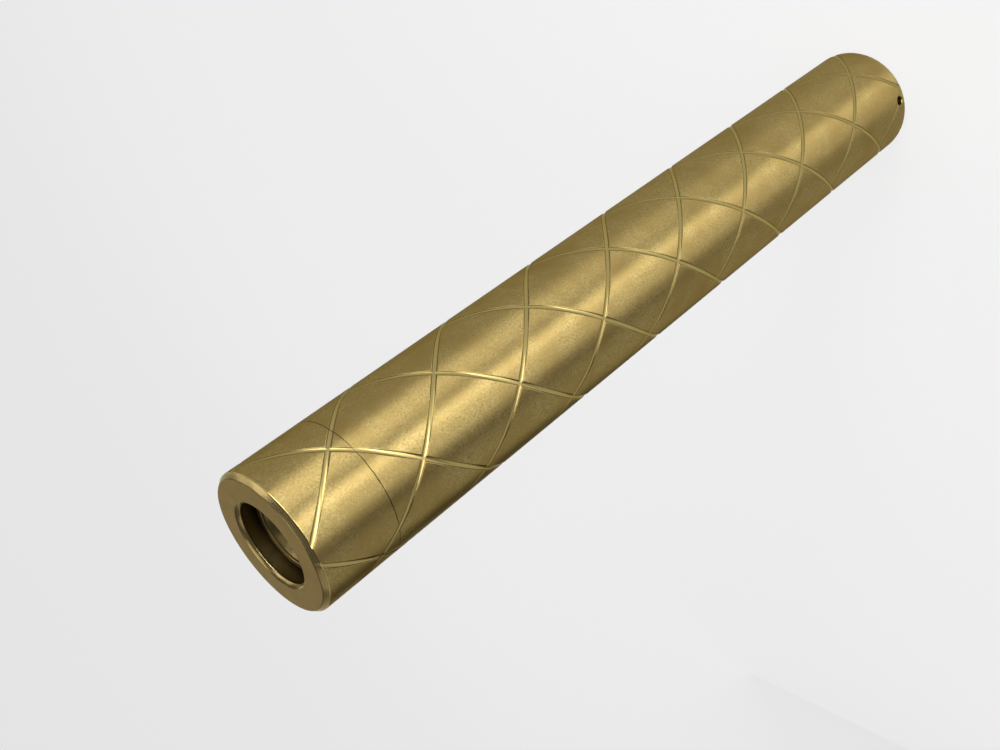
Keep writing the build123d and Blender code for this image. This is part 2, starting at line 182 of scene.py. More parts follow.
def close_wall(wall):
    """Joins the last two open edges of a bored wall and shades it."""
    bpy.ops.mesh.select_all(action="DESELECT")
    shape = bmesh.from_edit_mesh(wall.data)
    for edge in shape.edges:
        edge.select_set(edge.is_boundary)
    shape.select_flush(True)
    bmesh.update_edit_mesh(wall.data)
    bpy.ops.mesh.bridge_edge_loops()
    bpy.ops.mesh.select_all(action="SELECT")
    bpy.ops.mesh.normals_make_consistent(inside=False)
    bpy.ops.object.mode_set(mode="OBJECT")
    bpy.ops.object.shade_smooth_by_angle(angle=crease_angle)


def thread(crest, root, low, high):
    """The (radius, height) points of a fine thread, drawn as rings."""
    pitch = 0.75
    points = []
    turns = round(abs(high - low) / pitch)
    for turn in range(turns):
        base, step = low + (high - low) * turn / turns, (high - low) / turns
        points += [(crest, base), (crest, base + 0.15 * step), (root, base + 0.55 * step)]
        points += [(root, base + 0.65 * step)]
    return points + [(crest, high)]


rounding = 0.8
tail_outline = [
    (
        rounding - rounding * math.cos(math.radians(turn)),
        body_radius - rounding + rounding * math.sin(math.radians(turn)),
    )
    for turn in (0, 15, 30, 45, 60, 75, 90)
]
barrel_seam_outline = [
    (142.82, body_radius),
    (142.9, body_radius),
    (142.94, 10.985),
    (142.98, 10.95),
    (seam_height, 10.92),
]
barrel = grooved_wall("barrel_tube", tail_outline + [(0.9, body_radius)] + barrel_seam_outline)
select_open_edge(barrel, 0)
bore_on(barrel, [(8.84, 0), (8.78, 0.02), (8.52, 0.28), (8.5, 0.34), (8.5, 16.2)])
bore_on(barrel, [(7.0, 16.2), (7.0, 18.2), (9.5, 18.2)])
select_open_edge(barrel, seam_height)
bore_on(barrel, [(10.1, seam_height), (10.0, 142.9)])
bore_on(barrel, thread(10.0, 10.3, 142.4, 135.4))
bore_on(barrel, [(10.0, 134.0), (9.5, 134.0)])
close_wall(barrel)

lanyard_height = 2.2
lanyard_radius = 0.9
bpy.ops.object.select_all(action="DESELECT")
bpy.ops.mesh.primitive_circle_add(
    vertices=40,
    radius=lanyard_radius * mm,
    location=(0, -7 * mm, lanyard_height * mm),
    rotation=(quarter, 0, 0),
)
drill = bpy.context.object
bpy.ops.object.mode_set(mode="EDIT")
for reach, widening in ((3.86, 1.0), (0.04, 1.05), (0.4, 1.45)):
    bpy.ops.mesh.extrude_region_move(TRANSFORM_OT_translate={"value": (0, -reach * mm, 0)})
    bpy.ops.transform.resize(
        value=(widening, 1, widening), center_override=(0, 0, lanyard_height * mm)
    )
bpy.ops.mesh.select_all(action="SELECT")
bpy.ops.mesh.fill_holes(sides=0)
bpy.ops.mesh.normals_make_consistent(inside=False)
bpy.ops.object.mode_set(mode="OBJECT")
use_only(barrel)
bpy.ops.object.modifier_add(type="BOOLEAN")
barrel.modifiers["Boolean"].object = drill
barrel.modifiers["Boolean"].operation = "DIFFERENCE"
bpy.ops.object.modifier_apply(modifier="Boolean")
bpy.data.objects.remove(drill)
bpy.ops.object.shade_smooth_by_angle(angle=crease_angle)


def hex_colour(text):
    """An sRGB hex colour as the linear colour that a shader takes."""
    parts = [int(text[place : place + 2], 16) / 255 for place in (1, 3, 5)]
    linear = [
        part / 12.92 if part < 0.04045 else ((part + 0.055) / 1.055) ** 2.4 for part in parts
    ]
    return (*linear, 1.0)


def add_node(material, kind, settings=(), inputs=()):
    """Adds a node to a material or the world, its inputs given as values or links."""
    made = material.node_tree.nodes.new(kind)
    for name, value in dict(settings).items():
        setattr(made, name, value)
    for socket, value in dict(inputs).items():
        if isinstance(value, bpy.types.NodeSocket):
            material.node_tree.links.new(value, made.inputs[socket])
        else:
            made.inputs[socket].default_value = value
    return made


# Bare brushed brass: the brushing runs round the barrel, so light spreads along it in long
# soft bands. Handling has mottled it, the grooves are cut smoother and catch thin bright lines,
# their shallow edges carry painted shade in dark brown, and dirt sits in the seam. The grain and
# the brushing are drawn as coarse as they need to show.
brushed_brass = bpy.data.materials.new("brushed_bare_brass")
brushed_brass.use_nodes = True
shader = brushed_brass.node_tree.nodes["Principled BSDF"]
place = add_node(brushed_brass, "ShaderNodeTexCoord").outputs["Object"]
grain = add_node(
    brushed_brass,
    "ShaderNodeTexNoise",
    inputs={"Vector": place, "Scale": 3.4 / mm, "Detail": 5.0, "Roughness": 0.75},
)
patches = add_node(
    brushed_brass,
    "ShaderNodeTexNoise",
    inputs={"Vector": place, "Scale": 0.13 / mm, "Detail": 5.0, "Roughness": 0.65},
)
stretched = add_node(
    brushed_brass,
    "ShaderNodeMapping",
    inputs={"Vector": place, "Scale": (0.09 / mm, 0.09 / mm, 3.2 / mm)},
)
brushing = add_node(
    brushed_brass,
    "ShaderNodeTexNoise",
    inputs={"Vector": stretched.outputs["Vector"], "Scale": 1.0, "Detail": 3.0},
)
flat_place = add_node(
    brushed_brass,
    "ShaderNodeVectorMath",
    {"operation": "MULTIPLY"},
    {0: place, 1: (1.0, 1.0, 0.0)},
)
from_axis = add_node(
    brushed_brass, "ShaderNodeVectorMath", {"operation": "LENGTH"}, {0: flat_place.outputs[0]}
)
cut_deep = add_node(
    brushed_brass,
    "ShaderNodeMapRange",
    inputs={
        "Value": from_axis.outputs["Value"],
        "From Min": 10.968 * mm,
        "From Max": 10.95 * mm,
    },
)
patch_amount = add_node(
    brushed_brass,
    "ShaderNodeMapRange",
    inputs={"Value": patches.outputs["Fac"], "From Min": 0.42, "From Max": 0.7},
)
grain_amount = add_node(
    brushed_brass,
    "ShaderNodeMapRange",
    inputs={"Value": grain.outputs["Fac"], "From Min": 0.3, "From Max": 0.7},
)
grained = add_node(
    brushed_brass,
    "ShaderNodeMix",
    {"data_type": "RGBA"},
    {0: grain_amount.outputs[0], 6: hex_colour("#7F6C3E"), 7: hex_colour("#C2AD72")},
)
patched = add_node(
    brushed_brass,
    "ShaderNodeMix",
    {"data_type": "RGBA"},
    {0: patch_amount.outputs[0], 6: grained.outputs[2], 7: hex_colour("#9B844F")},
)
# Painted shade: each groove's shallow edges are coloured dark brown, fading to plain brass in its
# deeper core.
groove_shade_fade = add_node(
    brushed_brass,
    "ShaderNodeMapRange",
    inputs={
        "Value": from_axis.outputs["Value"],
        "From Min": 10.94 * mm,
        "From Max": 10.91 * mm,
    },
)
groove_shade_tone = add_node(
    brushed_brass,
    "ShaderNodeMix",
    {"data_type": "RGBA"},
    {0: groove_shade_fade.outputs[0], 6: hex_colour("#463920"), 7: hex_colour("#A5945D")},
)
with_groove_shade = add_node(
    brushed_brass,
    "ShaderNodeMix",
    {"data_type": "RGBA"},
    {0: cut_deep.outputs[0], 6: patched.outputs[2], 7: groove_shade_tone.outputs[2]},
)
height_only = add_node(brushed_brass, "ShaderNodeSeparateXYZ", inputs={0: place})
from_seam = add_node(
    brushed_brass,
    "ShaderNodeMath",
    {"operation": "COMPARE"},
    {0: height_only.outputs["Z"], 1: seam_height * mm, 2: 0.05 * mm},
)
gap_dirt = add_node(
    brushed_brass,
    "ShaderNodeMapRange",
    inputs={"Value": patches.outputs["Fac"], "From Min": 0.44, "From Max": 0.58},
)
in_seam = add_node(
    brushed_brass,
    "ShaderNodeMath",
    {"operation": "MULTIPLY"},
    {0: from_seam.outputs[0], 1: gap_dirt.outputs[0]},
)
seamed = add_node(
    brushed_brass,
    "ShaderNodeMix",
    {"data_type": "RGBA"},
    {0: in_seam.outputs[0], 6: with_groove_shade.outputs[2], 7: hex_colour("#3E311C")},
)
brushed_brass.node_tree.links.new(seamed.outputs[2], shader.inputs["Base Color"])
sheen_change = add_node(
    brushed_brass,
    "ShaderNodeMapRange",
    inputs={"Value": grain.outputs["Fac"], "To Min": 0.4, "To Max": 0.56},
)
cut_sheen = add_node(
    brushed_brass,
    "ShaderNodeMapRange",
    inputs={"Value": cut_deep.outputs[0], "To Min": 1.0, "To Max": 0.6},
)
sheen_here = add_node(
    brushed_brass,
    "ShaderNodeMath",
    {"operation": "MULTIPLY"},
    {0: sheen_change.outputs[0], 1: cut_sheen.outputs[0]},
)
brushed_brass.node_tree.links.new(sheen_here.outputs[0], shader.inputs["Roughness"])
spread_here = add_node(
    brushed_brass,
    "ShaderNodeMapRange",
    inputs={"Value": cut_deep.outputs[0], "To Min": 0.9, "To Max": 0.5},
)
brushed_brass.node_tree.links.new(spread_here.outputs[0], shader.inputs["Anisotropic"])
relief = add_node(
    brushed_brass,
    "ShaderNodeMath",
    {"operation": "MULTIPLY_ADD"},
    {0: brushing.outputs["Fac"], 1: 0.5, 2: grain.outputs["Fac"]},
)
brushed_bump = add_node(
    brushed_brass,
    "ShaderNodeBump",
    inputs={"Height": relief.outputs[0], "Strength": 0.3, "Distance": 0.02 * mm},
)
brushed_brass.node_tree.links.new(brushed_bump.outputs[0], shader.inputs["Normal"])
round_way = add_node(brushed_brass, "ShaderNodeTangent", {"direction_type": "RADIAL", "axis": "Z"})
brushed_brass.node_tree.links.new(round_way.outputs[0], shader.inputs["Tangent"])
shader.inputs["Metallic"].default_value = 1.0
shader.inputs["Anisotropic Rotation"].default_value = 0.25
shader.inputs["Specular Tint"].default_value = hex_colour("#C8BFA6")
barrel.data.materials.append(brushed_brass)
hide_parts("barrel")
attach(barrel, "barrel")

# Head: the turned brass nose. Its threaded skirt screws into the barrel behind the seam, its face
# is cut flat with a chamfer outside and a small one round the aperture, and it is hollow behind.
face_height = 156.0
head = grooved_wall(
    "head_nose",
    [
        (seam_height, 10.92),
        (143.02, 10.95),
        (143.06, 10.985),
        (143.1, body_radius),
        (143.18, body_radius),
        (155.16, body_radius),
        (155.22, body_radius),
        (155.29, 10.98),
        (155.36, 10.93),
        (155.94, 10.44),
        (155.985, 10.39),
        (face_height, 10.33),
    ],
)
select_open_edge(head, face_height)
bore_on(head, [(10.26, face_height), (7.0, face_height), (6.93, face_height)])
bore_on(head, [(6.89, 155.985), (6.46, 155.54)])
bore_on(head, [(6.43, 155.47), (6.43, 155.2), (6.46, 155.13), (6.53, 155.1), (7.2, 155.1)])
bore_on(head, [(7.2, 151.5), (9.05, 151.5), (9.05, 134.7)])
bore_on(head, [(9.15, 134.6), (9.6, 134.6), (9.9, 134.9)])
bore_on(head, thread(9.9, 9.6, 135.1, 142.0))
bore_on(head, [(9.6, 142.3), (9.6, 142.7), (9.9, seam_height)])
close_wall(head)


def turned_finish(name, dark, light, roughness, mark_spacing):
    """Turned metal: fine tool marks that run round the axis, mark_spacing mm apart."""
    finish = bpy.data.materials.new(name)
    finish.use_nodes = True
    surface = finish.node_tree.nodes["Principled BSDF"]
    spot = add_node(finish, "ShaderNodeTexCoord").outputs["Object"]
    flat = add_node(
        finish, "ShaderNodeVectorMath", {"operation": "MULTIPLY"}, {0: spot, 1: (1.0, 1.0, 0.0)}
    )
    out = add_node(finish, "ShaderNodeVectorMath", {"operation": "LENGTH"}, {0: flat.outputs[0]})
    axes = add_node(finish, "ShaderNodeSeparateXYZ", inputs={0: spot})
    way = add_node(
        finish,
        "ShaderNodeMath",
        {"operation": "MULTIPLY_ADD"},
        {0: axes.outputs["Z"], 1: 1.37, 2: out.outputs["Value"]},
    )
    marks = add_node(
        finish,
        "ShaderNodeTexNoise",
        {"noise_dimensions": "1D"},
        {"W": way.outputs[0], "Scale": 1 / (mark_spacing * mm), "Detail": 2.0},
    )
    stains = add_node(
        finish,
        "ShaderNodeTexNoise",
        inputs={"Vector": spot, "Scale": 0.42 / mm, "Detail": 4.0, "Roughness": 0.6},
    )
    both = add_node(
        finish,
        "ShaderNodeMath",
        {"operation": "MULTIPLY_ADD"},
        {0: stains.outputs["Fac"], 1: 0.6, 2: marks.outputs["Fac"]},
    )
    amount = add_node(
        finish,
        "ShaderNodeMapRange",
        inputs={"Value": both.outputs[0], "From Min": 0.5, "From Max": 1.1},
    )
    tone = add_node(
        finish,
        "ShaderNodeMix",
        {"data_type": "RGBA"},
        {0: amount.outputs[0], 6: hex_colour(dark), 7: hex_colour(light)},
    )
    finish.node_tree.links.new(tone.outputs[2], surface.inputs["Base Color"])
    sheen = add_node(
        finish,
        "ShaderNodeMapRange",
        inputs={
            "Value": marks.outputs["Fac"],
            "To Min": roughness - 0.06,
            "To Max": roughness + 0.06,
        },
    )
    finish.node_tree.links.new(sheen.outputs[0], surface.inputs["Roughness"])
    bump = add_node(
        finish,
        "ShaderNodeBump",
        inputs={"Height": marks.outputs["Fac"], "Strength": 0.2, "Distance": 0.01 * mm},
    )
    finish.node_tree.links.new(bump.outputs[0], surface.inputs["Normal"])
    surface.inputs["Metallic"].default_value = 1.0
    surface.inputs["Specular Tint"].default_value = hex_colour("#E0DED3")
    return finish


# Faced brass: the flat face is cut last and not brushed, so it is duller and more even.
# Chamfered brass: the chamfer's sharp clean cut shows light and dark in clear crescents.
# Bored brass: the bores keep the cutting tool's fine rings; their darker colour is painted shade.
faced_brass = turned_finish("faced_brass", "#937A42", "#B69858", 0.42, 0.12)
chamfered_brass = turned_finish("chamfered_brass", "#AE975C", "#CCB47A", 0.26, 0.12)
bore_shaded_brass = turned_finish("bore_shaded_brass", "#786843", "#978357", 0.36, 0.16)
head_finishes = [brushed_brass, faced_brass, bore_shaded_brass, chamfered_brass]
for finish in head_finishes:
    head.data.materials.append(finish)
for face in head.data.polygons:
    out = math.hypot(face.center.x, face.center.y) / mm
    height = face.center.z / mm
    if height > 155.985:
        face.material_index = head_finishes.index(faced_brass)
    elif height > (155.24 if out > 10.2 else 155.5):
        face.material_index = head_finishes.index(chamfered_brass)
    elif out < 10.2:
        face.material_index = head_finishes.index(bore_shaded_brass)
# The barrel's bores take the same darker brass, as painted shade inside the tube.
barrel.data.materials.append(bore_shaded_brass)
for face in barrel.data.polygons:
    if math.hypot(face.center.x, face.center.y) < 10.15 * mm:
        face.material_index = 1
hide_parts("head_shell")
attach(head, "head")

# Focus ring: a brass ring on a threaded stem, turned from the front with a spanner in its two
# slots. Its conical mouth lets the beam out past the lens, which is screwed in behind a thin ring.


def turned_piece(name, profile, edge_break=0.08, sides=128):
    """A turned piece: a circle drawn on through (radius, height) points, closed, edges broken."""
    bpy.ops.object.select_all(action="DESELECT")
    radius, height = profile[0]
    bpy.ops.mesh.primitive_circle_add(
        vertices=sides, radius=radius * mm, location=(0, 0, height * mm)
    )
    piece = bpy.context.object
    piece.name = piece.data.name = name
    bpy.ops.object.mode_set(mode="EDIT")
    bpy.ops.mesh.select_mode(type="EDGE")
    for new_radius, new_height in profile[1:]:
        rise = (new_height - height) * mm
        bpy.ops.mesh.extrude_edges_move(TRANSFORM_OT_translate={"value": (0, 0, rise)})
        widening = new_radius / radius
        bpy.ops.transform.resize(
            value=(widening, widening, 1), center_override=(0, 0, new_height * mm)
        )
        radius, height = new_radius, new_height
    bpy.ops.mesh.select_all(action="SELECT")
    bpy.ops.mesh.remove_doubles(threshold=1e-6)
    bpy.ops.mesh.fill_holes(sides=0)
    bpy.ops.mesh.select_all(action="SELECT")
    bpy.ops.mesh.normals_make_consistent(inside=False)
    bpy.ops.object.mode_set(mode="OBJECT")
    bpy.ops.object.transform_apply()
    if edge_break:
        bpy.ops.object.modifier_add(type="BEVEL")
        bevel = piece.modifiers["Bevel"]
        bevel.width = edge_break * mm
        bevel.segments = 2
        bevel.limit_method = "ANGLE"
        bevel.angle_limit = math.radians(25)
        bpy.ops.object.modifier_apply(modifier="Bevel")
    bpy.ops.object.shade_smooth_by_angle(angle=math.radians(30))
    return piece


def cut_away(piece, cutter):
    """Cuts one piece's shape out of another, and clears the cutter away."""
    use_only(piece)
    bpy.ops.object.modifier_add(type="BOOLEAN")
    piece.modifiers["Boolean"].object = cutter
    piece.modifiers["Boolean"].operation = "DIFFERENCE"
    bpy.ops.object.modifier_apply(modifier="Boolean")
    bpy.data.objects.remove(cutter)
    bpy.ops.object.shade_smooth_by_angle(angle=math.radians(30))


def finish_piece(piece, material, body, node):
    """Gives a piece its material, the body that it rides on and the CAD node that it stands for."""
    piece.data.materials.clear()
    piece.data.materials.append(material)
    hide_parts(node)
    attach(piece, body)


focus_ring = turned_piece(
    "focus_ring_turned",
    [
        (2.6, 136.0),
        (4.5, 136.0),
        (4.5, 147.8),
        (5.8, 147.8),
        (5.8, 151.3),
        (6.15, 151.5),
        (6.15, 153.2),
        (5.4, 153.2),
        (5.3, 153.0),
        (4.85, 153.0),
        (3.55, 149.5),
        (3.55, 144.8),
        (2.6, 144.8),
        (2.6, 136.0),
    ],
)
bpy.ops.object.select_all(action="DESELECT")
bpy.ops.mesh.primitive_cube_add(size=1, location=(0, 0, 152.5 * mm))
slot_cutter = bpy.context.object
slot_cutter.scale = (14 * mm, 1.2 * mm, 1 * mm)
bpy.ops.object.transform_apply()
cut_away(focus_ring, slot_cutter)
# Shaded turned brass: darker and browner, as painted shade on the ring deep in the aperture.
aperture_shaded_brass = turned_finish("aperture_shaded_turned_brass", "#7E6D44", "#A18D5B", 0.36, 0.12)
finish_piece(focus_ring, aperture_shaded_brass, "focus", "focus_ring")

# Lens: a small glass lens, flat behind and domed in front, that drops into the focus ring's stem
# from the front. It is ground and polished.
dome_radius = 4.206
dome_middle = 143.494
dome = [
    (
        dome_radius * math.sin(math.radians(turn)),
        dome_middle + dome_radius * math.cos(math.radians(turn)),
    )
    for turn in (38.0, 33, 28, 23, 18, 13, 8, 3)
]
lens = turned_piece("focus_lens_glass", [(3.5, 144.8), (3.5, 146.8), (2.6, 146.8)] + dome, 0.04)
# Lens glass: clear and polished, and faint dust dulls it in specks.
lens_glass = bpy.data.materials.new("lens_glass")
lens_glass.use_nodes = True
shader = lens_glass.node_tree.nodes["Principled BSDF"]
shader.inputs["Base Color"].default_value = hex_colour("#F4F8F8")
shader.inputs["Transmission Weight"].default_value = 1.0
shader.inputs["IOR"].default_value = 1.52
dust = add_node(
    lens_glass,
    "ShaderNodeTexNoise",
    inputs={
        "Vector": add_node(lens_glass, "ShaderNodeTexCoord").outputs["Object"],
        "Scale": 3 / mm,
        "Detail": 4.0,
    },
)
dusty = add_node(
    lens_glass,
    "ShaderNodeMapRange",
    inputs={"Value": dust.outputs["Fac"], "From Min": 0.5, "From Max": 0.8, "To Max": 0.15},
)
lens_glass.node_tree.links.new(dusty.outputs[0], shader.inputs["Roughness"])
finish_piece(lens, lens_glass, "focus", "focus_lens")

# Lens ring: a thin ring turned from aluminium and anodised black. It is threaded into the focus
# ring's stem and holds the lens down on its shoulder.
lens_ring = turned_piece(
    "lens_ring_turned", [(2.6, 146.8), (3.5, 146.8), (3.5, 148.3), (2.6, 148.3), (2.6, 146.8)]
)
# Black anodised aluminium: dyed deep black, so that it throws no stray light at the lens.
black_anodised = turned_finish("black_anodised_aluminium", "#0C0C0D", "#1A1A1C", 0.5, 0.1)
finish_piece(lens_ring, black_anodised, "focus", "lens_ring")

# Module housing: the brass tube of the laser module, with the diode pressed in behind and the
# focus stem's thread in front. The diode is a plated steel can, held in by a brass ring.
housing = turned_piece(
    "module_housing_turned",
    [
        (4.5, 115.0),
        (6.0, 115.0),
        (6.0, 147.2),
        (5.7, 147.5),
        (4.55, 147.5),
        (4.55, 127.5),
        (2.0, 127.5),
        (2.0, 124.2),
        (2.85, 124.2),
        (2.85, 123.0),
        (4.5, 123.0),
        (4.5, 115.0),
    ],
)
# Turned brass: bare and fairly bright, with the fine rings that the tool leaves.
turned_brass = turned_finish("turned_brass", "#8C7848", "#AE9862", 0.36, 0.1)
finish_piece(housing, turned_brass, "head", "module_housing")


def dress(node, material):
    """Gives a CAD node that shows as it is a better material."""
    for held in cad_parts[node].material_slots:
        held.material = material


# Plated steel: bright nickel over steel, cooler and shinier than the brass beside it.
plated_steel = turned_finish("plated_steel", "#A8A6A0", "#C6C4BE", 0.3, 0.15)
dress("laser_diode", plated_steel)
dress("diode_retainer", turned_brass)

# Heat sink: the aluminium sleeve that carries the module, a sliding fit in the head. The driver
# board sits in its rear cup, and two grub screws through its sides grip the module.
heat_sink = turned_piece(
    "heat_sink_turned",
    [
        (8.2, 91.0),
        (9.0, 91.0),
        (9.0, 151.5),
        (6.05, 151.5),
        (6.05, 109.0),
        (3.0, 109.0),
        (3.0, 106.0),
        (8.2, 106.0),
        (8.2, 91.0),
    ],
    0.12,
)
bpy.ops.object.select_all(action="DESELECT")
bpy.ops.mesh.primitive_cylinder_add(
    vertices=48,
    radius=1.55 * mm,
    depth=24 * mm,
    location=(0, 0, 121 * mm),
    rotation=(0, quarter, 0),
)
cut_away(heat_sink, bpy.context.object)
# Turned aluminium: bare, pale and silvery, with fine rings.
turned_aluminium = turned_finish("turned_aluminium", "#A9AAAC", "#C9CACC", 0.32, 0.12)
finish_piece(heat_sink, turned_aluminium, "head", "heat_sink")
dress("module_screws", plated_steel)

# Gasket: a washer stamped from black rubber sheet. The screwed-on head presses it flat and seals
# the joint.
gasket = turned_piece(
    "head_gasket_washer",
    [(9.55, 134.0), (9.95, 134.0), (9.95, 134.6), (9.55, 134.6), (9.55, 134.0)],
)


def moulded_finish(name, dark, light, roughness, grain_size, bump_depth=0.01):
    """A moulded or wrapped surface: a fine even grain, grain_size mm across, with soft mottling."""
    finish = bpy.data.materials.new(name)
    finish.use_nodes = True
    surface = finish.node_tree.nodes["Principled BSDF"]
    spot = add_node(finish, "ShaderNodeTexCoord").outputs["Object"]
    fine = add_node(
        finish,
        "ShaderNodeTexNoise",
        inputs={"Vector": spot, "Scale": 1 / (grain_size * mm), "Detail": 2.0},
    )
    broad = add_node(finish, "ShaderNodeTexNoise", inputs={"Vector": spot, "Scale": 0.2 / mm})
    both = add_node(
        finish,
        "ShaderNodeMath",
        {"operation": "ADD"},
        {0: fine.outputs["Fac"], 1: broad.outputs["Fac"]},
    )
    amount = add_node(
        finish,
        "ShaderNodeMapRange",
        inputs={"Value": both.outputs[0], "From Min": 0.75, "From Max": 1.25},
    )
    tone = add_node(
        finish,
        "ShaderNodeMix",
        {"data_type": "RGBA"},
        {0: amount.outputs[0], 6: hex_colour(dark), 7: hex_colour(light)},
    )
    finish.node_tree.links.new(tone.outputs[2], surface.inputs["Base Color"])
    sheen = add_node(
        finish,
        "ShaderNodeMapRange",
        inputs={
            "Value": fine.outputs["Fac"],
            "To Min": roughness - 0.06,
            "To Max": roughness + 0.06,
        },
    )
    finish.node_tree.links.new(sheen.outputs[0], surface.inputs["Roughness"])
    bump = add_node(
        finish,
        "ShaderNodeBump",
        inputs={"Height": fine.outputs["Fac"], "Strength": 0.4, "Distance": bump_depth * mm},
    )
    finish.node_tree.links.new(bump.outputs[0], surface.inputs["Normal"])
    return finish


# Black rubber: matt and nearly black, with a fine grain.
black_rubber = moulded_finish("black_rubber", "#0E0E0E", "#1B1B1B", 0.7, 0.2)
finish_piece(gasket, black_rubber, "head", "head_gasket")

# Driver: a round green board in the sink's cup, held by a threaded brass ring. A brass stud in
# its middle meets the cell, and an inductor, a chip and two capacitors stand on its other side.
driver_ring = turned_piece(
    "driver_ring_turned", [(6.85, 91.0), (8.15, 91.0), (8.15, 92.6), (6.85, 92.6), (6.85, 91.0)]
)
finish_piece(driver_ring, turned_brass, "head", "driver_ring")
contact = turned_piece("driver_contact_turned", [(2.1, 90.0), (2.5, 90.4), (2.5, 92.6)])
finish_piece(contact, turned_brass, "head", "driver_contact")
# Solder mask: a green lacquer over the board, with a soft shine.
solder_mask = moulded_finish("green_solder_mask", "#0F4A2A", "#1A6038", 0.35, 0.3)
dress("driver_board", solder_mask)
# Ferrite: a fired magnetic ceramic, dull and dark grey.
dress("driver_inductor", moulded_finish("ferrite", "#2A2A2C", "#3A3A3C", 0.55, 0.15))
# Moulded nylon: black and slightly matt, with the mould's even grain.
black_moulding = moulded_finish("black_moulded_nylon", "#101011", "#1D1D1F", 0.5, 0.1)
dress("driver_chip", black_moulding)
# Fired ceramic: the capacitors' tan body, smooth and without gloss.
dress("driver_capacitors", moulded_finish("fired_ceramic", "#8A6E4C", "#A58762", 0.45, 0.2))
# Silicone: the soft skins of the two leads, one red and one black, with a dull sheen.
dress("lead_positive", moulded_finish("red_silicone", "#8E1411", "#B02019", 0.45, 0.3))
dress("lead_negative", moulded_finish("black_silicone", "#101010", "#1E1E1E", 0.45, 0.3))

# Cell: a steel can in a shrunk blue plastic wrap, with a plated steel nipple on its end.
cell = turned_piece(
    "cell_wrapped",
    [(8.6, 24.0), (9.2, 24.4), (9.2, 88.2), (8.9, 88.75), (8.4, 89.0), (6.4, 89.0)],
)
# Shrunk plastic wrap: glossy blue film, faintly wavy where it has drawn tight.
cell_wrap = moulded_finish("shrunk_plastic_wrap", "#1F4E72", "#2B648E", 0.28, 1.2, 0.03)
finish_piece(cell, cell_wrap, "barrel", "battery_cell")
nipple = turned_piece(
    "cell_nipple", [(4.4, 88.8), (4.4, 89.0), (2.75, 89.05), (2.75, 89.8), (2.5, 90.0)]
)
finish_piece(nipple, plated_steel, "barrel", "battery_cell")

# Tail switch: a moulded push switch on a round board, pressed by the brass button through its
# plunger. A conical spring on the board's other side holds the cell forward.
dress("switch_board", solder_mask)
dress("switch_body", black_moulding)
# Moulded acetal: white, smooth and a little waxy.
dress("switch_plunger", moulded_finish("white_moulded_acetal", "#D8D8D2", "#E6E6E1", 0.4, 0.3))
wire_radius = 0.4
coil_radius = 5.4
coil_low = 16.65
coil_rise = 6.9
coil_turns = 3
coil_narrowing = 1.9
bpy.ops.object.select_all(action="DESELECT")
bpy.ops.mesh.primitive_circle_add(
    vertices=12,
    radius=wire_radius * mm,
    fill_type="NGON",
    location=(coil_radius * mm, 0, coil_low * mm),
    rotation=(quarter, 0, 0),
)
spring = bpy.context.object
spring.name = spring.data.name = "tail_spring_coil"
bpy.ops.object.transform_apply()
bpy.ops.object.modifier_add(type="SCREW")
coiling = spring.modifiers["Screw"]
coiling.angle = coil_turns * 2 * math.pi
coiling.screw_offset = coil_rise * mm
coiling.steps = coiling.render_steps = 180
bpy.ops.object.modifier_apply(modifier="Screw")
for vertex in spring.data.vertices:
    narrowing = coil_narrowing * (vertex.co.z / mm - coil_low) / coil_rise
    reach = math.hypot(vertex.co.x, vertex.co.y) / mm
    vertex.co.x *= 1 - narrowing / reach
    vertex.co.y *= 1 - narrowing / reach
bpy.ops.object.mode_set(mode="EDIT")
bpy.ops.mesh.select_all(action="SELECT")
bpy.ops.mesh.remove_doubles(threshold=1e-6)
bpy.ops.mesh.normals_make_consistent(inside=False)
bpy.ops.object.mode_set(mode="OBJECT")
bpy.ops.object.shade_smooth_by_angle(angle=math.radians(40))
finish_piece(spring, plated_steel, "barrel", "tail_spring")

# Tail ring: a threaded brass cup that holds the switch board in from behind. Two blind holes
# take a pin spanner.
tail_ring = turned_piece(
    "tail_ring_turned",
    [
        (5.6, 5.0),
        (8.45, 5.0),
        (8.45, 15.0),
        (7.25, 15.0),
        (7.25, 8.0),
        (5.6, 8.0),
        (5.6, 5.0),
    ],
)
for side in (-1, 1):
    bpy.ops.object.select_all(action="DESELECT")
    bpy.ops.mesh.primitive_cylinder_add(
        vertices=32,
        radius=0.8 * mm,
        depth=3 * mm,
        location=(side * 7.025 * mm, 0, 5 * mm),
    )
    cut_away(tail_ring, bpy.context.object)
finish_piece(tail_ring, turned_brass, "barrel", "tail_ring")

# Tail button: a cap turned from brass, with a dished face for the thumb. Its flange behind the
# tail ring keeps it in.
button = turned_piece(
    "tail_button_turned",
    [
        (1.0, 2.24),
        (2.4, 2.16),
        (3.6, 2.07),
        (4.3, 2.0),
        (5.0, 2.0),
        (5.5, 2.5),
        (5.5, 8.0),
        (6.9, 8.0),
        (6.9, 9.2),
    ],
    0.12,
)
finish_piece(button, turned_brass, "button", "tail_button")

